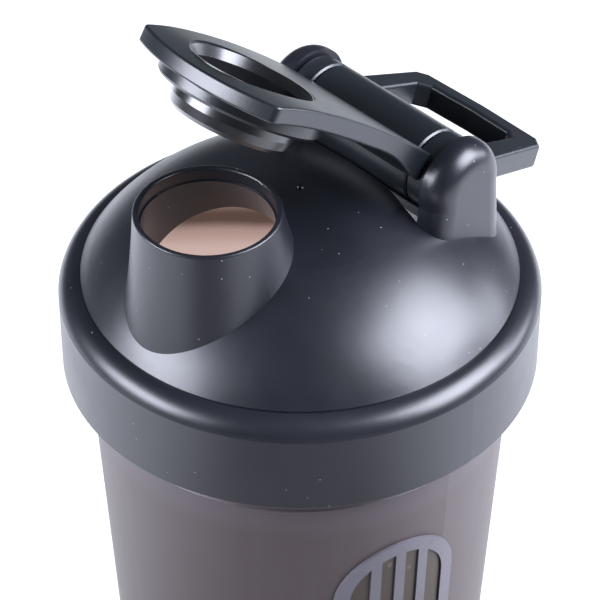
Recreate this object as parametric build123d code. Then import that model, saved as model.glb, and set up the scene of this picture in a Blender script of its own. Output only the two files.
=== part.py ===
"""Protein shaker bottle: tapered cup, screw lid with a spout, flip cap, carry loop, mixer ball.

Frame: millimetres, +Z up, origin at the centre of the cup's foot. The spout faces -Y and
the flip cap's hinge runs along X on the +Y side of the lid. The lid is screwed home, the
flip cap stands part open and the carry loop hangs behind the hinge.
"""
import os
from math import cos, radians, sin, sqrt

from build123d import *

os.makedirs("parts", exist_ok=True)

# ---------------------------------------------------------------- driving dimensions
LID_Z = 160.0            # lower edge of the lid skirt above the foot

# cup
FOOT_R, SHOULDER_R = 36.0, 43.6
CONE_Z0, CONE_Z1 = 8.0, 156.0
CUP_WALL = 1.8
NECK_R, NECK_IN_R = 43.2, 41.0
RIM_Z = LID_Z + 17.6
CUP_THREAD_R = 45.1      # crest of the cup's thread

# lid
SKIRT_R, SKIRT_IN_R = 49.0, 47.0
SKIRT_H = 17.4
BEAD_R = 5.2             # rounded top edge of the skirt
LID_THREAD_R = 45.4      # crest of the lid's inner thread
CROWN_R, CROWN_EDGE = 72.0, 22.0
DOME_Z = LID_Z + 41.3    # top of the dome
SHOULDER_ARC = 44.0
DOME_FOOT = 44.35
LID_WALL = 2.0
CEILING_Z = LID_Z + 19.4
THREAD_PITCH = 6.0

# spout
SPOUT_Y = -24.4
SPOUT_TOP = LID_Z + 48.6
SPOUT_R, BORE_R, LEDGE_R = 14.5, 13.35, 13.05
LEDGE_DEPTH = 3.0
RIM_ROUND = 0.45

# hinge line shared by the flip cap and the carry loop
HINGE_Y, HINGE_Z = 22.2, LID_Z + 43.0
BARREL_R, BARREL_HALF = 8.2, 15.1
KNUCKLE_IN, KNUCKLE_OUT = 15.45, 20.0
LUG_IN, LUG_OUT, LUG_R = 20.35, 26.2, 9.4
LUG_ROUND = 4.8          # rounding of the lugs' outer faces
PIN_R, PIN_BORE, LUG_BORE = 2.0, 2.06, 2.03
END_CHAMFER = 0.35       # at the ends of barrel and knuckles
RUN = 0.4                # running clearance round barrel and knuckles

# flip cap, drawn closed and then swung open
CAP_OPEN = 34.0
CAP_REACH = SPOUT_Y * -1 + HINGE_Y      # hinge to centre of the plug
CAP_TOP = 7.7            # top face over the plug, above the hinge line
CAP_HALF = 18.6          # half width of the plate
CAP_FRONT = 12.2         # corner of the plate in front of the plug's centre
CAP_ROUND = 0.5          # rounding along the plate's edges
CAP_BULGE = 4.7          # how far the middle of the front edge stands out beyond the corners
CAP_CROWN = ((7.0, 3.4), (12.0, 4.4), (22.0, 5.9), (32.3, 7.0), (46.6, 7.7), (53.0, 7.6),
             (58.5, 7.1), (66.0, 6.0))      # top face, (from the hinge line, above it)
CAP_BELLY = ((7.0, -2.6), (10.0, -1.9), (17.0, 0.9), (26.5, 2.6), (37.0, 3.6), (51.0, 4.1),
             (58.0, 3.7), (66.0, 2.6))      # underside
PLUG_R, PLUG_IN_R = 12.7, 11.7
PLUG_LOW = -4.0          # the plug's underside, above the hinge line
COLLAR_R, COLLAR_IN_R = 16.8, 15.9
COLLAR_LOW = 0.9         # lower edge of the collar, above the hinge line
FLANGE_R, FLANGE_LOW, FLANGE_TOP = 14.3, 5.75, 6.35     # plug flange, above the hinge line

# carry loop, drawn level and then dropped
LOOP_DROOP = 20.0
LOOP_REACH = 32.0
LOOP_TOP, LOOP_BOTTOM = 2.6, -2.9
LOOP_HALF, LOOP_BAR = 18.0, 4.4
LOOP_ROUND = 0.9         # rounding along the outside of the loop

# mixer ball
BALL_R, BALL_WIRE = 25.0, 1.2
BALL_Z = 5.2 + BALL_R + BALL_WIRE + 0.2


def cone_radius(z, offset=0.0):
    """Outer radius of the cup's tapered wall at height z."""
    return FOOT_R + (SHOULDER_R - FOOT_R) * (z - CONE_Z0) / (CONE_Z1 - CONE_Z0) + offset


def revolve_profile(edges):
    """Turn a closed chain of edges in the XZ plane about the Z axis."""
    return revolve(make_face(Wire(edges)), Axis.Z)


def chain(*points):
    """Straight edges through the points, as (radius, height)."""
    return [Line((a[0], 0, a[1]), (b[0], 0, b[1])) for a, b in zip(points, points[1:])]


def arc(centre, radius, start, end):
    """Arc in the XZ plane, angles in degrees from +X."""
    def at(t):
        return (centre[0] + radius * cos(radians(t)), 0, centre[1] + radius * sin(radians(t)))
    return ThreePointArc(at(start), at((start + end) / 2), at(end)), at(start), at(end)


def thread(radius_root, radius_crest, z0, turns):
    """Helical ridge between two radii, blunt at both ends."""
    path = Helix(pitch=THREAD_PITCH, height=THREAD_PITCH * turns, radius=radius_root)
    side = 1 if radius_crest > radius_root else -1
    depth = abs(radius_crest - radius_root)
    with BuildSketch(Plane(origin=path @ 0, x_dir=(side, 0, 0), z_dir=path % 0)) as ridge:
        with BuildLine():
            Polyline((-0.4, -1.3), (-0.4, 1.3), (depth, 0.5), (depth, -0.5), close=True)
        make_face()
    return Pos(0, 0, z0) * sweep(ridge.sketch, path=path, is_frenet=True)


# ---------------------------------------------------------------- cup
def build_cup():
    outer = revolve_profile(chain(
        (0, 3.2), (25.0, 3.2), (27.5, 0.0), (31.5, 0.0), (34.4, 1.6), (35.6, 4.4),
        (FOOT_R, CONE_Z0), (cone_radius(153.5), 153.5), (cone_radius(153.9) + 0.35, 153.9),
        (cone_radius(154.4) + 0.35, 154.4), (cone_radius(154.8), 154.8),
        (SHOULDER_R, CONE_Z1), (44.7, 157.3), (44.9, 158.4),
        (44.4, 159.3), (NECK_R, 159.5), (NECK_R, RIM_Z - 0.5), (NECK_R - 0.5, RIM_Z),
        (0, RIM_Z), (0, 3.2)))
    inner = revolve_profile(chain(
        (0, 5.2), (30.0, 5.2), (33.2, 6.6), (cone_radius(12, -CUP_WALL), 12.0),
        (cone_radius(150, -CUP_WALL), 150.0), (NECK_IN_R, 158.0), (NECK_IN_R, RIM_Z - 0.5),
        (NECK_IN_R + 0.5, RIM_Z), (NECK_IN_R + 0.5, RIM_Z + 5), (0, RIM_Z + 5), (0, 5.2)))
    return outer - inner + thread(NECK_R, CUP_THREAD_R, LID_Z + 5.2, 1.35)


def wall_band(z0, z1, height):
    """Thin conical shell standing on the outside of the cup's wall."""
    return revolve_profile(chain(
        (cone_radius(z0), z0), (cone_radius(z0, height), z0),
        (cone_radius(z1, height), z1), (cone_radius(z1), z1), (cone_radius(z0), z0)))


def radial(sketch_on_yz, angle):
    """Extrude a sketch (width, height) outward from the axis at the given heading."""
    prism = extrude(Plane.YZ * sketch_on_yz, 60)
    return Rot(0, 0, angle) * prism


GAUGE_ANGLE, GAUGE_W = -15.2, 27.6
GAUGE_Z0, GAUGE_Z1 = 32.0, 140.2
GAUGE_GAPS, GAUGE_BAR = 4, 2.3
GAUGE_PROUD = 0.7


def build_gauge():
    mid, tall = (GAUGE_Z0 + GAUGE_Z1) / 2, GAUGE_Z1 - GAUGE_Z0
    frame = Pos(0, mid) * SlotOverall(tall, GAUGE_W, rotation=90)
    window = Pos(0, mid) * SlotOverall(tall - 6, GAUGE_W - 6, rotation=90)
    pitch = (GAUGE_W - 6) / GAUGE_GAPS
    bars = [Pos(pitch * (i - (GAUGE_GAPS - 2) / 2), mid) * Rectangle(GAUGE_BAR, tall)
            for i in range(GAUGE_GAPS - 1)]
    cross = [Pos(0, z) * Rectangle(GAUGE_W, 1.5) for z in (60.0, 85.0, 110.0)]
    window = window - bars - cross
    return wall_band(GAUGE_Z0 - 5, GAUGE_Z1 + 5, GAUGE_PROUD) & radial(frame - window, GAUGE_ANGLE)


SCALE_ANGLE, SCALE_STEP, SCALE_Z0, SCALE_MARKS = 165.0, 6.0, 36.0, 18


def build_scale():
    ticks = []
    for i in range(SCALE_MARKS):
        width = 16.0 if i % 3 == 0 else 9.0
        ticks.append(Pos(-(16.0 - width) / 2, SCALE_Z0 + i * SCALE_STEP)
                     * Rectangle(width, 0.9))
    spine = Pos(-8.0, SCALE_Z0 + (SCALE_MARKS - 1) * SCALE_STEP / 2) * Rectangle(
        0.9, (SCALE_MARKS - 1) * SCALE_STEP + 0.9)
    sketch = spine
    for t in ticks:
        sketch = sketch + t
    return wall_band(SCALE_Z0 - 5, 145, 0.5) & radial(sketch, SCALE_ANGLE)


# ---------------------------------------------------------------- lid
def dome_outline(drop):
    """Crown and shoulder arcs of the dome, moved inward by drop; edges from apex outward."""
    crown_c = (0.0, DOME_Z - CROWN_R)
    s = CROWN_EDGE / CROWN_R
    c = sqrt(1 - s * s)
    should_c = (crown_c[0] + (CROWN_R - SHOULDER_ARC) * s, crown_c[1] + (CROWN_R - SHOULDER_ARC) * c)
    r1, r2 = CROWN_R - drop, SHOULDER_ARC - drop
    apex = (0, 0, crown_c[1] + r1)
    join = (r1 * s, 0, crown_c[1] + r1 * c)
    half = (r1 * s / 2, 0, crown_c[1] + sqrt(r1 * r1 - (r1 * s / 2) ** 2))
    foot_r = DOME_FOOT if drop == 0 else DOME_FOOT - 0.85 - drop
    h = foot_r - should_c[0]
    foot = (foot_r, 0, should_c[1] + sqrt(r2 * r2 - h * h))
    m = (join[0] + foot[0]) / 2 - should_c[0]
    mid = (m + should_c[0], 0, should_c[1] + sqrt(r2 * r2 - m * m))
    return [ThreePointArc(apex, half, join), ThreePointArc(join, mid, foot)], apex, foot


def dome_inside(drop, shift=0.0):
    """Solid that hollows the lid: dome underside, ceiling land and skirt bore."""
    edges, apex, foot = dome_outline(drop)
    solid = revolve_profile(edges + chain(
        (foot[0], foot[2]), (foot[0], CEILING_Z), (SKIRT_IN_R, CEILING_Z),
        (SKIRT_IN_R, LID_Z + 0.8), (SKIRT_IN_R + 0.5, LID_Z - 1), (0, LID_Z - 1), (0, apex[2])))
    return Pos(0, 0, -shift) * solid


def dome_outside():
    edges, apex, foot = dome_outline(0.0)
    centre = (SKIRT_R - BEAD_R * cos(radians(15)), LID_Z + SKIRT_H - BEAD_R * sin(radians(15)))
    bead, start, end = arc(centre, BEAD_R, 82, 15)
    return revolve_profile(
        edges + chain((foot[0], foot[2]), (foot[0], start[2]), (start[0], start[2])) + [bead]
        + chain((end[0], end[2]), (SKIRT_R, LID_Z + 0.5), (SKIRT_R - 0.5, LID_Z), (0, LID_Z),
                (0, apex[2])))


def spout_loft(top_r, top_z, wall):
    """Skewed cone from the base ellipse up to the round rim, straighter near the rim."""
    sections = []
    for drop, front, back, side in ((28.6, 0.145, 0.50, 0.165), (6.0, 0.08, 0.25, 0.10)):
        near = -SPOUT_Y + SPOUT_R + drop * front - wall
        far = -SPOUT_Y - SPOUT_R - drop * back + wall
        sections.append(Plane((0, -(near + far) / 2, SPOUT_TOP - drop)) * Ellipse(
            SPOUT_R + drop * side - wall, (near - far) / 2))
    sections.append(Plane((0, SPOUT_Y, top_z)) * Ellipse(top_r, top_r - 0.001))
    return loft(sections)


def hinge_plate(profile, x0, x1):
    """Extrude a (outward, up) profile drawn about the hinge line from x0 to x1."""
    plane = Plane(origin=(x0, HINGE_Y, HINGE_Z), x_dir=(0, -1, 0), z_dir=(-1, 0, 0))
    return extrude(plane * profile, -(x1 - x0))


def hinge_rod(radius, x0, x1):
    """Cylinder on the hinge line."""
    return hinge_plate(Circle(radius), x0, x1)


def build_lid():
    body = dome_outside() + spout_loft(SPOUT_R, SPOUT_TOP, 0.0)
    body -= dome_inside(LID_WALL)
    body -= spout_loft(LEDGE_R, SPOUT_TOP - LEDGE_DEPTH, 2.0)
    body -= Pos(0, SPOUT_Y, SPOUT_TOP) * Cylinder(BORE_R, 2 * LEDGE_DEPTH)
    rim = body.edges().filter_by(lambda e: e.bounding_box().min.Z > SPOUT_TOP - 0.01)
    body = fillet(rim, RIM_ROUND)
    # saddle under the hinge and the two lugs at its ends
    saddle = hinge_plate(make_face(Polyline(
        (10.6, -14.0), (10.2, -6.4), (9.2, -4.8), (8.0, -4.0), (0, -4.0), (-8.0, -8.0),
        (-9.6, -14.0), (10.6, -14.0))), -LUG_IN, LUG_IN)
    ear = make_face(Polyline((11.6, -20.0), (9.4, -2.0), (-9.4, -2.0), (-10.6, -20.0),
                             (11.6, -20.0))) + Circle(LUG_R) + Pos(0, -1) * Rectangle(
        2 * LUG_R, 2.0)
    lug_r = hinge_plate(ear, LUG_IN, LUG_OUT)
    lug_r = fillet(lug_r.faces().sort_by(Axis.X)[-1].edges().filter_by(
        lambda e: e.center().Z > HINGE_Z - 17), LUG_ROUND)
    mount = (saddle + lug_r + mirror(lug_r, Plane.YZ)) - dome_inside(LID_WALL, 3.4)
    mount -= Pos(0, 0, LID_Z) * Box(200, 200, 2 * 24.5)
    body += mount
    body -= hinge_rod(BARREL_R + RUN, -LUG_IN, LUG_IN)
    body -= hinge_rod(LUG_BORE, -LUG_OUT + 1.7, LUG_OUT - 1.7)
    body -= Pos(0, 0, DOME_Z) * Sphere(1.0)
    body += thread(SKIRT_IN_R, LID_THREAD_R, LID_Z + 1.8, 1.35)
    return body


def build_seal():
    z0, z1 = RIM_Z + 0.1, CEILING_Z - 0.1
    ring = revolve_profile(chain((NECK_IN_R + 0.9, z0), (NECK_R + 1.2, z0),
                                 (NECK_R + 1.2, z1), (NECK_IN_R + 0.9, z1),
                                 (NECK_IN_R + 0.9, z0)))
    return fillet(ring.edges(), 0.3)


# ---------------------------------------------------------------- flip cap
def swing(shape, degrees):
    """Turn a shape about the hinge line; positive lifts the spout side."""
    return Pos(0, HINGE_Y, HINGE_Z) * Rot(-degrees, 0, 0) * Pos(0, -HINGE_Y, -HINGE_Z) * shape


def cap_plan():
    """Flip cap seen from above, hinge line at y 0 and the front edge towards -Y."""
    h, corner = CAP_HALF, CAP_REACH + CAP_FRONT
    front = ThreePointArc((-h, -corner), (0, -corner - CAP_BULGE), (h, -corner))
    plan = make_face(Wire([Polyline((-h, -corner), (-h, -6.0), (h, -6.0), (h, -corner)).edges()[k]
                           for k in range(3)] + [front.edge()]))
    return fillet(plan.vertices().sort_by(Axis.Y)[:2], 1.6)


def cap_slab():
    """Slab whose faces follow the cap's lengthwise crown and belly."""
    top, low = list(CAP_CROWN), list(reversed(CAP_BELLY))
    band = make_face(Wire([Spline(*top).edge(), Line(top[-1], low[0]).edge(),
                           Spline(*low).edge(), Line(low[-1], top[0]).edge()]))
    return hinge_plate(band, -25, 25)


def build_lever():
    plate = cap_slab() & (Pos(0, HINGE_Y, HINGE_Z - 20) * extrude(cap_plan(), 40))
    skins = plate.faces().sort_by(SortBy.AREA)[-2:]
    plate = fillet(skins.edges().filter_by(lambda e: e.center().Y < HINGE_Y - 8), CAP_ROUND)
    centre = Pos(0, SPOUT_Y, HINGE_Z)
    collar = Pos(0, 0, (COLLAR_LOW + 5.5) / 2) * Cylinder(COLLAR_R, 5.5 - COLLAR_LOW)
    collar = chamfer(collar.edges().sort_by(Axis.Z)[0], 0.6)
    plate += centre * collar
    plate -= hinge_rod(BARREL_R + RUN + 0.1, -25, 25)
    plate -= centre * Cylinder(PLUG_R + 0.25, 60)
    plate -= centre * Pos(0, 0, FLANGE_LOW - 0.02 - 5) * Cylinder(COLLAR_IN_R, 10)
    plate -= centre * Pos(0, 0, FLANGE_TOP + 0.02 - 5) * Cylinder(FLANGE_R + 0.05, 10)
    # barrel grows out of the middle of the plate
    neck = hinge_plate(make_face(Polyline((0, 5.0), (7.2, 3.3), (12.0, 4.2), (12.0, 1.2),
                                          (8.4, -1.2), (0, -4.0), (0, 5.0))),
                       -BARREL_HALF, BARREL_HALF)
    barrel = hinge_rod(BARREL_R, -BARREL_HALF, BARREL_HALF)
    barrel = chamfer(barrel.edges(), END_CHAMFER)
    lever = plate + neck + barrel - hinge_rod(PIN_BORE, -25, 25)
    return swing(lever, CAP_OPEN)


def build_plug():
    low, lip = PLUG_LOW, CAP_TOP - 0.5
    body = revolve_profile(chain(
        (0, low), (PLUG_R - 1.2, low), (PLUG_R - 0.4, low + 0.8), (PLUG_R, low + 2.6),
        (PLUG_R, FLANGE_LOW), (FLANGE_R, FLANGE_LOW), (FLANGE_R, FLANGE_TOP),
        (PLUG_R + 0.2, FLANGE_TOP), (PLUG_R + 0.2, lip), (PLUG_R - 0.1, lip),
        (PLUG_IN_R, lip - 2.0), (PLUG_IN_R - 0.4, low + 1.4), (0, low + 1.4), (0, low)))
    return swing(Pos(0, SPOUT_Y, HINGE_Z) * body, CAP_OPEN)


# ---------------------------------------------------------------- carry loop and pin
def build_loop():
    h, r = LOOP_HALF, LOOP_REACH
    outer = make_face(Polyline((-KNUCKLE_OUT, 0), (KNUCKLE_OUT, 0), (KNUCKLE_OUT, 8), (h, r - 2.6),
                               (h - 2.4, r - 0.6), (0, r), (-h + 2.4, r - 0.6), (-h, r - 2.6),
                               (-KNUCKLE_OUT, 8), (-KNUCKLE_OUT, 0)))
    hole = make_face(Polyline((-KNUCKLE_IN, -9), (KNUCKLE_IN, -9), (KNUCKLE_IN, 9),
                              (h - 4.6, 14), (h - 4.8, r - 7), (h - 7.2, r - 4.9), (0, r - LOOP_BAR),
                              (-h + 7.2, r - 4.9), (-h + 4.8, r - 7), (-h + 4.6, 14),
                              (-KNUCKLE_IN, 9), (-KNUCKLE_IN, -9)))
    flat = Pos(0, HINGE_Y, HINGE_Z + LOOP_BOTTOM) * extrude(outer - hole, LOOP_TOP - LOOP_BOTTOM)
    flat = fillet(flat.edges().filter_by(
        lambda e: e.center().Y > HINGE_Y + 9.5 and abs(e.tangent_at(0.5).Z) < 0.5), LOOP_ROUND)
    for x0, x1 in ((KNUCKLE_IN, KNUCKLE_OUT), (-KNUCKLE_OUT, -KNUCKLE_IN)):
        knuckle = hinge_rod(BARREL_R, x0, x1)
        flat += chamfer(knuckle.edges(), END_CHAMFER)
    flat -= hinge_rod(BARREL_R + RUN, -BARREL_HALF - 0.35, BARREL_HALF + 0.35)
    flat -= hinge_rod(PIN_BORE, -25, 25)
    return swing(flat, LOOP_DROOP)


def build_pin():
    return hinge_rod(PIN_R, -LUG_OUT + 1.9, LUG_OUT - 1.9)


# ---------------------------------------------------------------- mixer ball
def build_ball():
    ball = None
    for lat in (-60, -32, 0, 32, 60):
        ring = Pos(0, 0, BALL_R * sin(radians(lat))) * Torus(BALL_R * cos(radians(lat)), BALL_WIRE)
        ball = ring if ball is None else ball + ring
    for i in range(4):
        rib = Rot(0, 0, -68) * Torus(BALL_R - 0.8, BALL_WIRE, major_angle=136, align=(Align.NONE,) * 3)
        ball = ball + Rot(0, 0, 45 + 90 * i) * (Rot(90, 0, 0) * rib)
    return Pos(0, 0, BALL_Z) * ball


BUILDERS = {
    "cup": build_cup, "level_gauge": build_gauge, "volume_scale": build_scale,
    "lid_shell": build_lid, "lid_seal": build_seal, "flip_lever": build_lever,
    "spout_plug": build_plug, "carry_loop": build_loop, "hinge_pin": build_pin,
    "whisk_ball": build_ball,
}

for name, make in BUILDERS.items():
    shape = make()
    export_step(shape, f"parts/{name}.step")
    box = shape.bounding_box()
    print(name, len(shape.solids()), round(shape.volume), box.min, box.max)
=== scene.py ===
"""Looks of a protein shaker bottle: cup, screw lid, flip cap, carry loop and mixer ball."""
import logging
import math
from dataclasses import dataclass, field
from enum import Enum
from typing import Any, Callable

import bmesh
import bpy
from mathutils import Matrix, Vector


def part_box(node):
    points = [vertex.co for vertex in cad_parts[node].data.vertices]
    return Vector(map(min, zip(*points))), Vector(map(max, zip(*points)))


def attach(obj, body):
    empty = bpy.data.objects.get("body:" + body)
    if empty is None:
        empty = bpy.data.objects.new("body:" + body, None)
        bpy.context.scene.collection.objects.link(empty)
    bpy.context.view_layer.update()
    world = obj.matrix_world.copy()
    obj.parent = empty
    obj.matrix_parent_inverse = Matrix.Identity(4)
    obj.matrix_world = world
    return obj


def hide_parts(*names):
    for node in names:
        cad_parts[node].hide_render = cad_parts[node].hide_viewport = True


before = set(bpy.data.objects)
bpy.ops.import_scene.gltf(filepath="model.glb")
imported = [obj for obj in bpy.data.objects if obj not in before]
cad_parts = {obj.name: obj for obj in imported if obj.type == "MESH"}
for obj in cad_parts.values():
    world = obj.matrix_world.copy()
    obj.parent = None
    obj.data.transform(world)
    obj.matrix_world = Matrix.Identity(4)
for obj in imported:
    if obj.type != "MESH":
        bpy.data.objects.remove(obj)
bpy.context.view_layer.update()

LOG = logging.getLogger("shaker")
MM = 0.001
SINK = 0.1 * MM          # how deep raised marks reach into the wall
Colour = tuple[float, float, float]


def scaled(colour: Colour, factor: float) -> Colour:
    """A colour made lighter or darker."""
    return tuple(channel * factor for channel in colour)


def bearing(azimuth: float, elevation: float) -> Vector:
    """Direction from the bottle outward.

    Args:
        azimuth: degrees round the axis from the front, towards +X.
        elevation: degrees above the horizon.
    Returns:
        The unit vector.
    """
    turn, rise = math.radians(azimuth), math.radians(elevation)
    return Vector((math.sin(turn) * math.cos(rise), -math.cos(turn) * math.cos(rise),
                   math.sin(rise)))


def look_from(thing: bpy.types.Object, target: Vector, back: Vector, distance: float) -> None:
    """Link an object and aim its -Z axis at a point.

    Args:
        thing: the camera or lamp.
        target: the point that it faces.
        back: direction from that point to the object.
        distance: how far away it stands.
    """
    thing.location = target + back * distance
    thing.rotation_mode = "QUATERNION"
    thing.rotation_quaternion = (-back).to_track_quat("-Z", "Y")
    bpy.context.scene.collection.objects.link(thing)


# ---------------------------------------------------------------- node graphs
class Wire:
    """A node's output that can be used in arithmetic; each operator adds a Math node."""

    def __init__(self, graph: "Graph", socket: bpy.types.NodeSocket) -> None:
        """Wrap one output socket of a graph."""
        self.graph = graph
        self.socket = socket

    def _maths(self, operation: str, *operands: Any) -> "Wire":
        """Add a Math node.

        Args:
            operation: the Math node's operation.
            operands: its inputs in order, wires or numbers.
        Returns:
            The node's result.
        """
        return self.graph.wire("ShaderNodeMath", {"operation": operation},
                               dict(enumerate(operands)))

    def __add__(self, other: Any) -> "Wire":
        """Sum."""
        return self._maths("ADD", self, other)

    __radd__ = __add__

    def __sub__(self, other: Any) -> "Wire":
        """Difference."""
        return self._maths("SUBTRACT", self, other)

    def __rsub__(self, other: Any) -> "Wire":
        """Difference, reflected."""
        return self._maths("SUBTRACT", other, self)

    def __mul__(self, other: Any) -> "Wire":
        """Product."""
        return self._maths("MULTIPLY", self, other)

    __rmul__ = __mul__

    def __truediv__(self, other: Any) -> "Wire":
        """Quotient."""
        return self._maths("DIVIDE", self, other)

    def __rtruediv__(self, other: Any) -> "Wire":
        """Quotient, reflected."""
        return self._maths("DIVIDE", other, self)

    def __pow__(self, other: Any) -> "Wire":
        """Power."""
        return self._maths("POWER", self, other)

    def __mod__(self, other: Any) -> "Wire":
        """Floored remainder."""
        return self._maths("FLOORED_MODULO", self, other)

    def __abs__(self) -> "Wire":
        """Size without sign."""
        return self._maths("ABSOLUTE", self)

    def below(self, other: Any) -> "Wire":
        """One where this is less than the other, else zero."""
        return self._maths("LESS_THAN", self, other)

    def sine(self) -> "Wire":
        """Sine of an angle in radians."""
        return self._maths("SINE", self)

    def cosine(self) -> "Wire":
        """Cosine of an angle in radians."""
        return self._maths("COSINE", self)

    def ramp(self, low: float, high: float) -> "Wire":
        """Smooth step from zero to one.

        Args:
            low: where the step starts.
            high: where it ends.
        Returns:
            The stepped value.
        """
        return self.graph.wire("ShaderNodeMapRange", {"interpolation_type": "SMOOTHSTEP"},
                               {"Value": self, "From Min": low, "From Max": high})


class Graph:
    """A shader or geometry node tree that is written as expressions."""

    def __init__(self, tree: bpy.types.NodeTree) -> None:
        """Start on a tree."""
        self.tree = tree

    def add(self, kind: str, settings: dict[str, Any] | None = None,
            inputs: dict[Any, Any] | None = None) -> bpy.types.Node:
        """Add any node.

        Args:
            kind: the node's type name.
            settings: its properties, set before its sockets; "stops" fills a colour ramp.
            inputs: values or wires by socket name or index.
        Returns:
            The new node.
        """
        node = self.tree.nodes.new(kind)
        for key, value in (settings or {}).items():
            if key == "stops":
                ramp = node.color_ramp
                while len(ramp.elements) < len(value):
                    ramp.elements.new(0.5)
                for element, (place, colour) in zip(ramp.elements, value):
                    element.position, element.color = place, (*colour, 1.0)
            else:
                setattr(node, key, value)
        for key, value in (inputs or {}).items():
            socket = node.inputs[key]
            if isinstance(value, Wire):
                self.tree.links.new(value.socket, socket)
            elif isinstance(value, bpy.types.NodeSocket):
                self.tree.links.new(value, socket)
            elif isinstance(value, tuple) and len(value) == 3 and socket.type == "RGBA":
                socket.default_value = (*value, 1.0)
            else:
                socket.default_value = value
        return node

    def wire(self, kind: str, settings: dict[str, Any] | None = None,
             inputs: dict[Any, Any] | None = None, output: Any = 0) -> Wire:
        """Add any node and take one of its outputs.

        Args:
            kind: the node's type name.
            settings: its properties.
            inputs: values or wires by socket name or index.
            output: the output's name or index.
        Returns:
            That output.
        """
        return Wire(self, self.add(kind, settings, inputs).outputs[output])

    def position(self) -> Wire:
        """Object coordinates."""
        return self.wire("ShaderNodeTexCoord", output="Object")

    def split(self, vector: Wire) -> tuple[Wire, Wire, Wire]:
        """The three parts of a vector."""
        node = self.add("ShaderNodeSeparateXYZ", None, {0: vector})
        return tuple(Wire(self, node.outputs[i]) for i in range(3))

    def join(self, x: Any, y: Any, z: Any) -> Wire:
        """A vector from three values."""
        return self.wire("ShaderNodeCombineXYZ", None, {0: x, 1: y, 2: z})

    def noise(self, size: float, detail: float = 3.0, rough: float = 0.5,
              seed: float = 0.0) -> Wire:
        """Cloudy noise.

        Args:
            size: the width of one lump, in metres.
            detail: how many finer octaves it has.
            rough: how strong those are.
            seed: moves the pattern, so that two of them differ.
        Returns:
            Values about 0.5.
        """
        moved = self.wire("ShaderNodeVectorMath", {"operation": "ADD"},
                          {0: self.position(), 1: (seed, seed * 0.7, seed * 1.3)})
        return self.wire("ShaderNodeTexNoise", None,
                         {"Vector": moved, "Scale": 1.0 / size, "Detail": detail,
                          "Roughness": rough})

    def cells(self, size: float, seed: float = 0.0) -> tuple[Wire, Wire]:
        """Distance to the nearest of scattered points, and that point's random value.

        Args:
            size: the mean gap between points, in metres.
            seed: moves the pattern.
        Returns:
            The distance in gaps, and a value from 0 to 1.
        """
        moved = self.wire("ShaderNodeVectorMath", {"operation": "ADD"},
                          {0: self.position(), 1: (seed, seed, seed)})
        node = self.add("ShaderNodeTexVoronoi", None, {"Vector": moved, "Scale": 1.0 / size})
        chance = self.split(Wire(self, node.outputs["Color"]))[0]
        return Wire(self, node.outputs["Distance"]), chance

    def blend(self, factor: Any, first: Any, second: Any) -> Wire:
        """Mix of two colours.

        Args:
            factor: 0 gives the first and 1 the second.
            first: colour or wire.
            second: colour or wire.
        Returns:
            The mixed colour.
        """
        node = self.add("ShaderNodeMix", {"data_type": "RGBA"})
        for index, value in ((0, factor), (6, first), (7, second)):
            socket = node.inputs[index]
            if isinstance(value, Wire):
                self.tree.links.new(value.socket, socket)
            else:
                socket.default_value = (*value, 1.0) if isinstance(value, tuple) else value
        return Wire(self, node.outputs[2])

    def bump(self, height: Wire, depth: float, under: Wire | None = None) -> Wire:
        """Surface relief.

        Args:
            height: values from 0 to 1.
            depth: what one unit of height is, in metres.
            under: relief that this lies on.
        Returns:
            The bent normal.
        """
        inputs: dict[Any, Any] = {"Strength": 1.0, "Distance": depth, "Height": height}
        if under is not None:
            inputs["Normal"] = under
        return self.wire("ShaderNodeBump", None, inputs)


def principled(name: str, surface: Callable[[Graph], dict[str, Any]]) -> bpy.types.Material:
    """Make a material with one Principled shader.

    Args:
        name: the material's name.
        surface: gives the shader's sockets for a graph.
    Returns:
        The new material.
    """
    material = bpy.data.materials.new(name)
    material.use_nodes = True
    material.node_tree.nodes.clear()
    graph = Graph(material.node_tree)
    shader = graph.add("ShaderNodeBsdfPrincipled", None, surface(graph))
    graph.add("ShaderNodeOutputMaterial", None, {"Surface": shader.outputs[0]})
    return material


# ---------------------------------------------------------------- finishes
@dataclass(frozen=True)
class Finish:
    """What every finish has: a name, the record's slot and a build method."""

    name: str
    slot: str

    def surface(self, graph: Graph) -> dict[str, Any]:
        """Sockets of the Principled shader; each finish gives its own."""
        raise NotImplementedError

    def build(self) -> bpy.types.Material:
        """Make the material once and return it.

        Returns:
            The material, the same one at every call.
        """
        return bpy.data.materials.get(self.name) or principled(self.name, self.surface)


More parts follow.
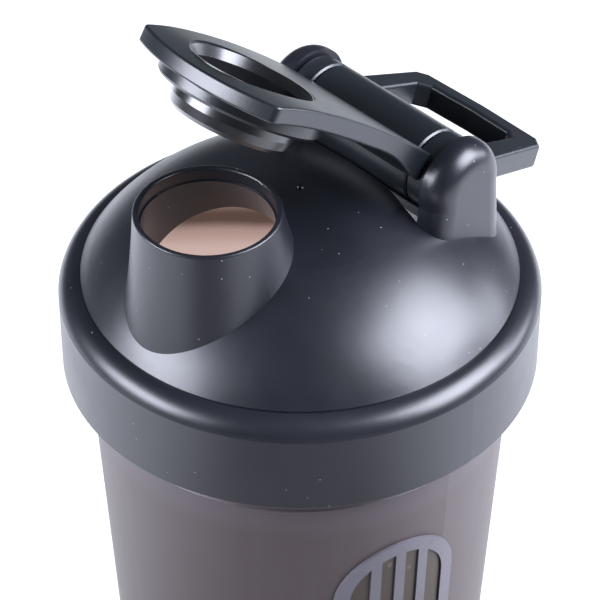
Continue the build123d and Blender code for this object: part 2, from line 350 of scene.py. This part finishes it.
@dataclass(frozen=True)
class MouldedBlack(Finish):
    """Satin black polypropylene with a fine spark-eroded grain, scuffs and a little dust."""

    colour: Colour = (0.0065, 0.0072, 0.0105)
    rough: float = 0.34
    grain: float = 0.00022
    depth: float = 0.000012
    wave: float = 0.00001
    dust: float = 0.5
    coat: float = 0.0

    def surface(self, graph: Graph) -> dict[str, Any]:
        """Grain in the relief, cloudy sheen in the roughness, dust in the colour.

        Args:
            graph: the material's graph.
        Returns:
            The Principled shader's sockets.
        """
        cloud = graph.noise(0.021, 2.0, 0.5, 0.3)
        smear = graph.noise(0.006, 4.0, 0.65, 1.1)
        grit = graph.noise(self.grain, 2.0, 0.6)
        near, chance = graph.cells(0.0026, 0.17)
        speck = near.below(0.052) * chance.below(self.dust)
        scuff_line = graph.noise(0.0009, 5.0, 0.8, 2.2)
        scuff = scuff_line.ramp(0.66, 0.74) * cloud.ramp(0.5, 0.62)
        tone = graph.blend(cloud.ramp(0.35, 0.65), scaled(self.colour, 0.86),
                           scaled(self.colour, 1.16))
        tone = graph.blend(scuff * 0.12, tone, (0.10, 0.10, 0.11))
        tone = graph.blend(speck * 0.5, tone, (0.42, 0.42, 0.43))
        rough = (cloud - 0.5) * 0.10 + (smear - 0.5) * 0.08 + scuff * 0.10 + speck * 0.3
        normal = graph.bump(cloud, self.wave)
        normal = graph.bump(grit, self.depth, normal)
        return {"Base Color": tone, "Roughness": rough + self.rough, "Normal": normal,
                "Specular IOR Level": 0.5, "Coat Weight": self.coat, "Coat Roughness": 0.2}


@dataclass(frozen=True)
class SmokeCup(Finish):
    """Smoke-tinted, slightly cloudy polypropylene, darker where the drink stands behind it."""

    colour: Colour = (0.054, 0.042, 0.047)
    deep: Colour = (0.044, 0.031, 0.031)
    rough: float = 0.44
    fill: float = 0.150

    def surface(self, graph: Graph) -> dict[str, Any]:
        """Two tones by height and cloud, moulding ripples down the wall.

        Args:
            graph: the material's graph.
        Returns:
            The Principled shader's sockets.
        """
        x, y, z = graph.split(graph.position())
        cloud = graph.noise(0.030, 3.0, 0.5, 0.9)
        streak = graph.wire("ShaderNodeTexNoise", None, {
            "Vector": graph.join(x * 420.0, y * 420.0, z * 24.0), "Scale": 1.0,
            "Detail": 3.0, "Roughness": 0.5})
        fine = graph.noise(0.00028, 2.0, 0.6, 0.4)
        filled = (z + (cloud - 0.5) * 0.004).ramp(self.fill, self.fill - 0.004)
        tone = graph.blend(filled * 0.75, self.colour, self.deep)
        tone = graph.blend((streak - 0.35) * 0.35, tone, scaled(self.colour, 1.35))
        rough = (cloud - 0.5) * 0.10 + (streak - 0.5) * 0.08 + self.rough
        normal = graph.bump(streak, 0.000012)
        normal = graph.bump(fine, 0.000003, normal)
        return {"Base Color": tone, "Roughness": rough, "Normal": normal,
                "Specular IOR Level": 0.5}


@dataclass(frozen=True)
class PaleMark(Finish):
    """Raised pale grey gauge and scale marks, a little worn."""

    colour: Colour = (0.085, 0.080, 0.094)

    def surface(self, graph: Graph) -> dict[str, Any]:
        """Mottled grey with worn patches.

        Args:
            graph: the material's graph.
        Returns:
            The Principled shader's sockets.
        """
        worn = graph.noise(0.0022, 4.0, 0.7, 0.6).ramp(0.55, 0.70)
        cloud = graph.noise(0.012, 2.0, 0.5, 1.7)
        fine = graph.noise(0.00025, 2.0, 0.6)
        tone = graph.blend(cloud, scaled(self.colour, 0.9),
                           scaled(self.colour, 1.12))
        tone = graph.blend(worn * 0.3, tone, scaled(self.colour, 0.6))
        return {"Base Color": tone, "Roughness": (cloud - 0.5) * 0.12 + worn * 0.1 + 0.38,
                "Normal": graph.bump(fine, 0.000005), "Specular IOR Level": 0.5}


@dataclass(frozen=True)
class DrinkWindow(Finish):
    """Thin clear strip between the gauge bars with the brown drink behind it."""

    colour: Colour = (0.034, 0.025, 0.018)

    def surface(self, graph: Graph) -> dict[str, Any]:
        """Brown, paler to the top, with faint bubbles.

        Args:
            graph: the material's graph.
        Returns:
            The Principled shader's sockets.
        """
        height = graph.split(graph.position())[2]
        near, chance = graph.cells(0.0028, 0.5)
        bubble = near.ramp(0.26, 0.18) * chance.below(0.3)
        cloud = graph.noise(0.009, 3.0, 0.55, 0.2)
        tone = graph.blend((height + (cloud - 0.5) * 0.02).ramp(0.09, 0.15),
                           self.colour, scaled(self.colour, 1.25))
        tone = graph.blend(bubble * 0.2, tone, (0.22, 0.18, 0.16))
        return {"Base Color": tone, "Roughness": (cloud - 0.5) * 0.08 + 0.42,
                "Normal": graph.bump(bubble, 0.00003), "Specular IOR Level": 0.35}


@dataclass(frozen=True)
class SealSilicone(Finish):
    """Matt grey silicone with lint."""

    colour: Colour = (0.30, 0.31, 0.33)

    def surface(self, graph: Graph) -> dict[str, Any]:
        """Soft mottling and fine grain.

        Args:
            graph: the material's graph.
        Returns:
            The Principled shader's sockets.
        """
        cloud = graph.noise(0.008, 3.0, 0.6, 0.8)
        fine = graph.noise(0.0003, 3.0, 0.6)
        tone = graph.blend(cloud, scaled(self.colour, 0.85), self.colour)
        return {"Base Color": tone, "Roughness": (cloud - 0.5) * 0.15 + 0.6,
                "Normal": graph.bump(fine, 0.00001)}


@dataclass(frozen=True)
class DrawnSteel(Finish):
    """Polished stainless wire with drawing lines and water marks."""

    colour: Colour = (0.62, 0.61, 0.60)

    def surface(self, graph: Graph) -> dict[str, Any]:
        """Bright metal, duller in patches.

        Args:
            graph: the material's graph.
        Returns:
            The Principled shader's sockets.
        """
        mark = graph.noise(0.004, 4.0, 0.6, 0.1).ramp(0.5, 0.7)
        line = graph.noise(0.00035, 4.0, 0.8, 0.4)
        tone = graph.blend(mark * 0.4, self.colour, scaled(self.colour, 0.7))
        return {"Base Color": tone, "Metallic": 1.0,
                "Roughness": mark * 0.14 + (line - 0.5) * 0.12 + 0.18,
                "Normal": graph.bump(line, 0.000006)}


class Look(Enum):
    """The finishes of this bottle."""

    LID = MouldedBlack("lid satin black", "lid_black")
    CAP = MouldedBlack("cap satin black", "cap_black", colour=(0.0065, 0.0085, 0.0105),
                       rough=0.32, dust=0.25)
    LOOP = MouldedBlack("loop satin black", "loop_black", colour=(0.0065, 0.0085, 0.0105),
                        rough=0.33)
    PLUG = MouldedBlack("plug gloss black", "plug_black", colour=(0.006, 0.006, 0.007), rough=0.3,
                        grain=0.0004, depth=0.000002, dust=0.2, coat=0.5)
    PIN = MouldedBlack("pin black", "pin_black", rough=0.3)
    CUP = SmokeCup("cup smoke", "cup_smoke")
    MARK = PaleMark("gauge pale grey", "gauge_grey")
    WINDOW = DrinkWindow("gauge window", "cup_smoke")
    SEAL = SealSilicone("seal silicone", "seal_silicone")
    STEEL = DrawnSteel("ball steel wire", "ball_steel")

    def material(self) -> bpy.types.Material:
        """This finish's material."""
        return self.value.build()

    @property
    def slot(self) -> str:
        """The record's slot that it stands for."""
        return self.value.slot


# ---------------------------------------------------------------- piece helpers
def dress(node: str, look: Look) -> None:
    """Give a CAD node its finish.

    Args:
        node: the CAD node's name.
        look: its finish.
    """
    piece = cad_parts[node]
    piece.data.materials.clear()
    piece.data.materials.append(look.material())
    LOG.info("%s wears %s", node, look.value.name)


def new_piece(name: str, mesh: bpy.types.Mesh, look: Look, body: str, *replaced: str,
              smooth: bool = True) -> bpy.types.Object:
    """Put a finished mesh in the scene and tie it to its body.

    Args:
        name: the piece's name.
        mesh: its mesh, already in place.
        look: its finish.
        body: the CAD body that it rides on.
        replaced: CAD nodes that it stands for.
        smooth: whether its faces are shaded smooth.
    Returns:
        The new object.
    """
    piece = bpy.data.objects.new(name, mesh)
    bpy.context.scene.collection.objects.link(piece)
    mesh.materials.clear()
    mesh.materials.append(look.material())
    for polygon in mesh.polygons:
        polygon.use_smooth = smooth
        polygon.material_index = 0
    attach(piece, body)
    look.slot
    if replaced:
        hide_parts(*replaced)
    LOG.info("%s rides on %s with %d faces", name, body, len(mesh.polygons))
    return piece


def plain_mesh(holder: bpy.types.Object) -> bpy.types.Mesh:
    """The evaluated mesh of an object, which is linked for it and then removed.

    Args:
        holder: a new object with a modifier or a text.
    Returns:
        The plain mesh.
    """
    bpy.context.scene.collection.objects.link(holder)
    bpy.context.view_layer.update()
    graph = bpy.context.evaluated_depsgraph_get()
    mesh = bpy.data.meshes.new_from_object(holder.evaluated_get(graph))
    holder.modifiers.clear()
    bpy.data.objects.remove(holder)
    return mesh


def grown_mesh(name: str, tree: bpy.types.NodeTree, values: dict[str, Any]) -> bpy.types.Mesh:
    """Run a geometry tree and keep its result as a plain mesh.

    Args:
        name: the mesh's name.
        tree: the geometry node tree.
        values: its inputs by name, set through each socket's identifier.
    Returns:
        The plain mesh.
    """
    holder = bpy.data.objects.new(name + " holder", bpy.data.meshes.new(name + " seed"))
    modifier = holder.modifiers.new("grow", "NODES")
    modifier.node_group = tree
    for item in tree.interface.items_tree:
        if getattr(item, "in_out", "") == "INPUT" and item.name in values:
            modifier[item.identifier] = values[item.name]
    mesh = plain_mesh(holder)
    mesh.name = name
    return mesh


@dataclass
class Taper:
    """The cup's wall as a cone, and how flat shapes are wrapped round it."""

    low_radius: float = 36.0 * MM
    low_height: float = 8.0 * MM
    high_radius: float = 43.6 * MM
    high_height: float = 156.0 * MM

    @property
    def slope(self) -> float:
        """Growth of the radius for each unit of height."""
        return (self.high_radius - self.low_radius) / (self.high_height - self.low_height)

    @property
    def foot(self) -> float:
        """Radius that the wall would have at height zero."""
        return self.low_radius - self.slope * self.low_height

    def wrap(self, across: float, out: float, up: float, heading: float) -> Vector:
        """Place a flat point on the wall.

        Args:
            across: arc length to the right of the heading, seen from outside.
            out: height above the wall.
            up: height above the foot.
            heading: direction from the axis, in degrees from +X.
        Returns:
            The point in the row frame.
        """
        wall = self.foot + self.slope * up
        turn = math.radians(heading) + across / wall
        return Vector(((wall + out) * math.cos(turn), (wall + out) * math.sin(turn), up))


def tree_with(name: str, sizes: dict[str, tuple[str, Any]]) -> tuple[Graph, dict[str, Wire]]:
    """Start a geometry tree with named inputs and one geometry output.

    Args:
        name: the tree's name.
        sizes: socket type and default value by input name.
    Returns:
        The graph, and its inputs by name.
    """
    tree = bpy.data.node_groups.new(name, "GeometryNodeTree")
    tree.interface.new_socket("Geometry", in_out="OUTPUT", socket_type="NodeSocketGeometry")
    for label, (kind, default) in sizes.items():
        tree.interface.new_socket(label, in_out="INPUT", socket_type=kind).default_value = default
    graph = Graph(tree)
    entry = graph.add("NodeGroupInput")
    return graph, {label: Wire(graph, entry.outputs[label]) for label in sizes}


def end_tree(graph: Graph, shape: Wire, look: Look) -> bpy.types.NodeTree:
    """Close a geometry tree with Realize Instances and Set Material.

    Args:
        graph: the tree's graph.
        shape: the geometry so far.
        look: the finish to set.
    Returns:
        The finished tree.
    """
    real = graph.wire("GeometryNodeRealizeInstances", None, {0: shape})
    worn = graph.wire("GeometryNodeSetMaterial", None,
                      {"Geometry": real, "Material": look.material()})
    graph.add("NodeGroupOutput", None, {0: worn})
    return graph.tree


# ---------------------------------------------------------------- sub-assemblies
@dataclass
class Cup:
    """The tapered cup with its gauge window and volume scale."""

    taper: Taper = field(default_factory=Taper)
    gauge_heading: float = -15.2
    window_width: float = 24.0 * MM
    window_margin: float = 1.7 * MM
    window_tip: float = 0.4 * MM
    window_skins: tuple[float, float] = (-0.15 * MM, 0.22 * MM)
    window_grid: tuple[int, int] = (96, 14)
    scale_heading: float = 165.0
    scale_low: float = 36.0 * MM
    scale_step: float = 6.0 * MM
    scale_marks: int = 18
    marks_each: int = 3
    long_mark: float = 16.0 * MM
    short_mark: float = 9.0 * MM
    mark_thick: float = 0.9 * MM
    mark_proud: float = 0.5 * MM
    figure_size: float = 5.4 * MM
    figure_across: float = 9.6 * MM
    figure_depth: float = 0.25 * MM
    body: str = "cup"

    def build(self) -> None:
        """Dress the CAD nodes and add what is finer than they are."""
        dress("cup", Look.CUP)
        dress("level_gauge", Look.MARK)
        new_piece("gauge_window", self.window_mesh(), Look.WINDOW, self.body)
        new_piece("volume_ticks", self.tick_mesh(), Look.MARK, self.body, "volume_scale",
                  smooth=False)
        for step in range(0, self.scale_marks, self.marks_each):
            figure = str((step // self.marks_each + 1) * 100)
            new_piece(f"volume_figure_{figure}", self.figure_mesh(figure, step), Look.MARK,
                      self.body, smooth=False)

    def window_mesh(self) -> bpy.types.Mesh:
        """Thin closed strip under the gauge's bars.

        Returns:
            The strip's mesh.
        """
        low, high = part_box("level_gauge")
        half = self.window_width / 2
        bottom, top = low.z + self.window_margin, high.z - self.window_margin
        rows, columns = self.window_grid
        rings: list[list[list[Any]]] = []
        shape = bmesh.new()
        for out in self.window_skins:
            layer = []
            for row in range(rows + 1):
                up = bottom + (top - bottom) * (1 - math.cos(math.pi * row / rows)) / 2
                end = min(up - bottom, top - up)
                inset = half - math.sqrt(max(half ** 2 - max(half - end, 0.0) ** 2, 1e-9))
                wide = half - inset if row not in (0, rows) else self.window_tip
                layer.append([shape.verts.new(self.taper.wrap(
                    wide * (2 * column / columns - 1), out, up, self.gauge_heading))
                    for column in range(columns + 1)])
            rings.append(layer)
        inner, outer = rings
        for row in range(rows):
            for column in range(columns):
                for layer, order in ((outer, 1), (inner, -1)):
                    quad = [layer[row][column], layer[row][column + 1],
                            layer[row + 1][column + 1], layer[row + 1][column]]
                    shape.faces.new(quad[::order])
            for column in (0, columns):
                shape.faces.new([inner[row][column], outer[row][column],
                                 outer[row + 1][column], inner[row + 1][column]])
        for row in (0, rows):
            for column in range(columns):
                shape.faces.new([inner[row][column], inner[row][column + 1],
                                 outer[row][column + 1], outer[row][column]])
        bmesh.ops.recalc_face_normals(shape, faces=shape.faces)
        mesh = bpy.data.meshes.new("gauge_window")
        shape.to_mesh(mesh)
        shape.free()
        return mesh

    def tick_mesh(self) -> bpy.types.Mesh:
        """Raised marks of the volume scale, grown by a geometry tree and wrapped on the wall.

        Returns:
            The marks' mesh.
        """
        graph, size = tree_with("volume marks", {
            "Marks": ("NodeSocketInt", self.scale_marks),
            "Step": ("NodeSocketFloat", self.scale_step),
            "Lowest": ("NodeSocketFloat", self.scale_low),
            "Long": ("NodeSocketFloat", self.long_mark),
            "Short": ("NodeSocketFloat", self.short_mark),
            "Thick": ("NodeSocketFloat", self.mark_thick),
            "Proud": ("NodeSocketFloat", self.mark_proud),
            "Heading": ("NodeSocketFloat", math.radians(self.scale_heading)),
            "Foot Radius": ("NodeSocketFloat", self.taper.foot),
            "Slope": ("NodeSocketFloat", self.taper.slope)})
        index = graph.wire("GeometryNodeInputIndex")
        every_third = (index % float(self.marks_each)).below(0.5)
        width = size["Short"] + every_third * (size["Long"] - size["Short"])
        line = graph.wire("GeometryNodeMeshLine", {"mode": "OFFSET"}, {
            "Count": size["Marks"], "Start Location": graph.join(0.0, 0.0, size["Lowest"]),
            "Offset": graph.join(0.0, 0.0, size["Step"])})
        bar = graph.wire("GeometryNodeMeshCube", None, {
            "Size": graph.join(1.0, size["Proud"] + 2 * SINK, size["Thick"]), "Vertices X": 9})
        bar = graph.wire("GeometryNodeTransform", None, {
            "Geometry": bar, "Translation": graph.join(0.5, size["Proud"] / 2.0 - SINK, 0.0)})
        marks = graph.wire("GeometryNodeInstanceOnPoints", None, {
            "Points": line, "Instance": bar, "Scale": graph.join(width, 1.0, 1.0)})
        spine = graph.wire("GeometryNodeMeshCube", None, {
            "Size": graph.join(size["Thick"], size["Proud"] + 2 * SINK,
                               (size["Marks"] - 1.0) * size["Step"]), "Vertices Z": 24})
        spine = graph.wire("GeometryNodeTransform", None, {
            "Geometry": spine, "Translation": graph.join(
                0.0, size["Proud"] / 2.0 - SINK,
                size["Lowest"] + (size["Marks"] - 1.0) * size["Step"] / 2.0)})
        both = graph.add("GeometryNodeJoinGeometry")
        for part in (spine, marks):
            graph.tree.links.new(part.socket, both.inputs[0])
        real = graph.wire("GeometryNodeRealizeInstances", None, {0: both.outputs[0]})
        across, out, up = graph.split(graph.wire("GeometryNodeInputPosition"))
        wall = size["Foot Radius"] + size["Slope"] * up
        turn = size["Heading"] + (across - size["Long"] / 2.0) / wall
        place = graph.join((wall + out) * turn.cosine(), (wall + out) * turn.sine(), up)
        bent = graph.wire("GeometryNodeSetPosition", None, {"Geometry": real, "Position": place})
        tree = end_tree(graph, bent, Look.MARK)
        mesh = grown_mesh("volume_ticks", tree, {"Marks": self.scale_marks})
        return tidy_normals(mesh)

    def figure_mesh(self, figure: str, step: int) -> bpy.types.Mesh:
        """One raised number beside its long mark.

        Args:
            figure: the number.
            step: which mark it stands beside.
        Returns:
            The number's mesh, wrapped on the wall.
        """
        text = bpy.data.curves.new("figure " + figure, "FONT")
        text.body, text.size, text.extrude = figure, self.figure_size, self.figure_depth
        text.align_y = "CENTER"
        mesh = plain_mesh(bpy.data.objects.new("figure holder", text))
        middle = self.scale_low + step * self.scale_step
        for vertex in mesh.vertices:
            flat = vertex.co.copy()
            vertex.co = self.taper.wrap(
                flat.x + self.figure_across, flat.z + self.figure_depth - SINK,
                middle + flat.y, self.scale_heading)
        return tidy_normals(mesh)


def tidy_normals(mesh: bpy.types.Mesh) -> bpy.types.Mesh:
    """Merge doubles and turn every face outward.

    Args:
        mesh: the mesh to mend.
    Returns:
        The same mesh.
    """
    shape = bmesh.new()
    shape.from_mesh(mesh)
    bmesh.ops.remove_doubles(shape, verts=shape.verts, dist=1e-6)
    bmesh.ops.recalc_face_normals(shape, faces=shape.faces)
    shape.to_mesh(mesh)
    shape.free()
    return mesh


@dataclass
class ScrewLid:
    """Lid moulding, its seal and the hinge pin."""

    def build(self) -> None:
        """Dress the lid's CAD nodes."""
        dress("lid_shell", Look.LID)
        dress("lid_seal", Look.SEAL)
        dress("hinge_pin", Look.PIN)


@dataclass
class FlipCap:
    """Lever and plug of the flip cap."""

    def build(self) -> None:
        """Dress the cap's CAD nodes."""
        dress("flip_lever", Look.CAP)
        dress("spout_plug", Look.PLUG)


@dataclass
class CarryLoop:
    """The bail behind the hinge."""

    def build(self) -> None:
        """Dress the loop's CAD node."""
        dress("carry_loop", Look.LOOP)


@dataclass
class MixerBall:
    """Loose whisk ball wound from one steel wire."""

    turns: float = 7.0
    steps: int = 420
    sides: int = 10
    wire: float = 1.2 * MM
    tip: float = math.radians(25.0)

    def build(self) -> None:
        """Wind the wire in place of the CAD rings."""
        low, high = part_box("whisk_ball")
        centre = (low + high) / 2
        radius = (high.x - low.x) / 2 - self.wire
        graph, size = tree_with("wound wire ball", {
            "Radius": ("NodeSocketFloat", radius), "Wire": ("NodeSocketFloat", self.wire),
            "Turns": ("NodeSocketFloat", self.turns), "Steps": ("NodeSocketInt", self.steps),
            "Sides": ("NodeSocketInt", self.sides), "Height": ("NodeSocketFloat", centre.z)})
        line = graph.wire("GeometryNodeCurvePrimitiveLine")
        line = graph.wire("GeometryNodeResampleCurve", None, {"Curve": line,
                                                              "Count": size["Steps"]})
        along = graph.wire("GeometryNodeSplineParameter", output="Factor")
        polar = along * (math.pi - 2 * self.tip) + self.tip
        turn = along * size["Turns"] * (2 * math.pi)
        ring = polar.sine() * size["Radius"]
        place = graph.join(ring * turn.cosine(), ring * turn.sine(),
                           polar.cosine() * size["Radius"] + size["Height"])
        line = graph.wire("GeometryNodeSetPosition", None, {"Geometry": line, "Position": place})
        profile = graph.wire("GeometryNodeCurvePrimitiveCircle", None,
                             {"Radius": size["Wire"], "Resolution": size["Sides"]})
        tube = graph.wire("GeometryNodeCurveToMesh", None, {
            "Curve": line, "Profile Curve": profile, "Fill Caps": True})
        tree = end_tree(graph, tube, Look.STEEL)
        mesh = tidy_normals(grown_mesh("mixer_ball_wire", tree, {"Turns": self.turns}))
        new_piece("mixer_ball_wire", mesh, Look.STEEL, "mixer_ball", "whisk_ball")


# ---------------------------------------------------------------- studio
@dataclass
class SoftBox:
    """One rectangular studio light, aimed at the lid."""

    azimuth: float
    elevation: float
    distance: float
    width: float
    height: float
    radiance: float
    tint: Colour = (0.84, 0.87, 1.0)

    def build(self, target: Vector, name: str) -> None:
        """Place the light.

        Args:
            target: the point that it faces.
            name: its name.
        """
        data = bpy.data.lights.new(name, "AREA")
        data.shape, data.size, data.size_y = "RECTANGLE", self.width, self.height
        data.energy = self.radiance * math.pi * self.width * self.height
        data.color = self.tint
        look_from(bpy.data.objects.new(name, data), target,
                  bearing(self.azimuth, self.elevation), self.distance)


@dataclass
class Studio:
    """Floor, soft lights, camera and the drink that stands in the cup."""

    azimuth: float = 46.5
    elevation: float = 40.85
    distance: float = 0.600
    lens: float = 174.0
    sensor: float = 36.0
    shift: float = 0.075
    clip: tuple[float, float] = (0.01, 20.0)
    aim_height: float = 0.160
    lamp_aim: float = 0.20
    half_floor: float = 3.0
    # painted shade: the floor's tone darkens far from the bottle
    tone_near: Colour = (0.20, 0.20, 0.205)
    tone_far: Colour = (0.07, 0.072, 0.075)
    # painted light: the floor's glow in front, behind, at the sides and far away
    front_glow: Colour = (0.13, 0.105, 0.105)
    floor_glow: Colour = (0.85, 0.90, 0.92)
    side_glow: Colour = (1.8, 1.86, 2.1)
    far_glow: Colour = (0.07, 0.075, 0.085)
    air: Colour = (0.80, 0.87, 1.0)
    air_strength: float = 0.15
    drink_height: float = 176.5 * MM
    drink_radius: float = 40.3 * MM
    drink_lip: float = 0.6 * MM
    drink_colour: Colour = (0.30, 0.22, 0.20)
    # painted light: the drink's surface glows in place of the light that falls on it
    drink_glow: Colour = (0.60, 0.44, 0.40)
    # painted shadows of the lid on the drink: where each band starts and ends, and its shade
    drink_shadow_bands: tuple[tuple[float, float, Colour], ...] = (
        (0.011, 0.018, (0.40, 0.27, 0.24)), (0.017, 0.021, (0.10, 0.062, 0.050)),
        (0.0225, 0.0265, (0.26, 0.18, 0.15)))

    def build(self) -> None:
        """Make everything that isn't part of the bottle."""
        self.camera()
        self.floor()
        self.world()
        self.lights()
        self.drink()
        view = bpy.context.scene.view_settings
        view.view_transform, view.look = "Standard", "None"

    def across_and_away(self, graph: Graph) -> tuple[Wire, Wire, Wire]:
        """Where a point lies as the lens sees it.

        Args:
            graph: a stage material's graph.
        Returns:
            Its distances to the right of the axis, beyond the axis, and from the axis.
        """
        x, y, _ = graph.split(graph.position())
        turn = math.radians(self.azimuth)
        return (x * math.cos(turn) + y * math.sin(turn), y * math.cos(turn) - x * math.sin(turn),
                (x * x + y * y) ** 0.5)

    def camera(self) -> None:
        """A long lens that looks down on the lid."""
        data = bpy.data.cameras.new("camera")
        data.lens, data.sensor_width, data.shift_y = self.lens, self.sensor, self.shift
        data.clip_start, data.clip_end = self.clip
        camera = bpy.data.objects.new("camera", data)
        look_from(camera, Vector((0, 0, self.aim_height)),
                  bearing(self.azimuth, self.elevation), self.distance)
        bpy.context.scene.camera = camera

    def floor(self) -> None:
        """A wide floor, dim in front of the bottle, pale behind it and brightest at its sides."""
        half = self.half_floor
        mesh = bpy.data.meshes.new("floor")
        mesh.from_pydata([(-half, -half, 0), (half, -half, 0), (half, half, 0), (-half, half, 0)],
                         [], [(0, 1, 2, 3)])
        self.put_on_stage("floor", mesh, principled("floor white", self.floor_surface))

    def floor_surface(self, graph: Graph) -> dict[str, Any]:
        """Matt white that glows by place with painted light, brightest at the sides and dim in
        front, and fades to painted shade far away.

        Args:
            graph: the material's graph.
        Returns:
            The Principled shader's sockets.
        """
        across, away, reach = self.across_and_away(graph)
        far = reach.ramp(0.70, 1.30)
        glow = graph.blend(away.ramp(-0.10, 0.04), self.front_glow, self.floor_glow)
        glow = graph.blend(abs(across).ramp(0.11, 0.22), glow, self.side_glow)
        return {"Base Color": graph.blend(far, self.tone_near, self.tone_far),
                "Roughness": 0.9, "Emission Color": graph.blend(far, glow, self.far_glow),
                "Emission Strength": 1.0}

    def world(self) -> None:
        """Dim even surroundings."""
        world = bpy.data.worlds.new("studio")
        world.use_nodes = True
        backdrop = world.node_tree.nodes["Background"]
        backdrop.inputs["Color"].default_value = (*self.air, 1.0)
        backdrop.inputs["Strength"].default_value = self.air_strength
        bpy.context.scene.world = world

    def lights(self) -> None:
        """A large softbox at each side of the lens and a low one behind at the right."""
        target = Vector((0, 0, self.lamp_aim))
        SoftBox(self.azimuth + 80, 36, 0.95, 0.72, 0.64, 25.0).build(target, "key right")
        SoftBox(self.azimuth - 73, 24, 0.95, 0.64, 0.42, 24.0).build(target, "key left")
        SoftBox(self.azimuth + 108, 9, 1.2, 0.44, 0.30, 12.0).build(target, "kicker right")

    def drink(self) -> None:
        """The surface of the drink, seen down the spout; it belongs to no body."""
        rings, sides = 6, 64
        shape = bmesh.new()
        middle = shape.verts.new((0, 0, self.drink_height))
        previous: list[Any] = []
        for ring in range(1, rings + 1):
            edge = self.drink_radius * ring / rings
            height = self.drink_height + (self.drink_lip if ring == rings else 0.0)
            circle = [shape.verts.new((edge * math.cos(2 * math.pi * side / sides),
                                       edge * math.sin(2 * math.pi * side / sides), height))
                      for side in range(sides)]
            for side in range(sides):
                after = (side + 1) % sides
                if previous:
                    shape.faces.new([previous[side], circle[side], circle[after],
                                     previous[after]])
                else:
                    shape.faces.new([middle, circle[side], circle[after]])
            previous = circle
        mesh = bpy.data.meshes.new("drink")
        shape.to_mesh(mesh)
        shape.free()
        self.put_on_stage("drink", mesh, principled("drink", self.drink_surface))

    def drink_surface(self, graph: Graph) -> dict[str, Any]:
        """Milky brown that glows with painted light, with the lid's shadows painted across it in
        bands.

        Args:
            graph: the material's graph.
        Returns:
            The Principled shader's sockets.
        """
        away = self.across_and_away(graph)[1] + (graph.noise(0.03) - 0.5) * 0.004
        glow: Any = self.drink_glow
        for start, end, shade in self.drink_shadow_bands:
            glow = graph.blend(away.ramp(start, end), glow, shade)
        return {"Base Color": self.drink_colour, "Roughness": 0.3, "Emission Color": glow,
                "Emission Strength": 1.0}

    def put_on_stage(self, name: str, mesh: bpy.types.Mesh,
                     material: bpy.types.Material) -> None:
        """Add something that isn't part of the bottle.

        Args:
            name: the object's name.
            mesh: its mesh.
            material: its material.
        """
        mesh.materials.append(material)
        thing = bpy.data.objects.new(name, mesh)
        bpy.context.scene.collection.objects.link(thing)


def main() -> None:
    """Build the studio and the bottle, part by part."""
    logging.basicConfig(level=logging.INFO, format="%(name)s: %(message)s")
    parts: list[Callable[[], None]] = [
        Studio().build, Cup().build, ScrewLid().build, FlipCap().build, CarryLoop().build,
        MixerBall().build]
    for part in parts:
        part()


if __name__ == "__main__":
    main()
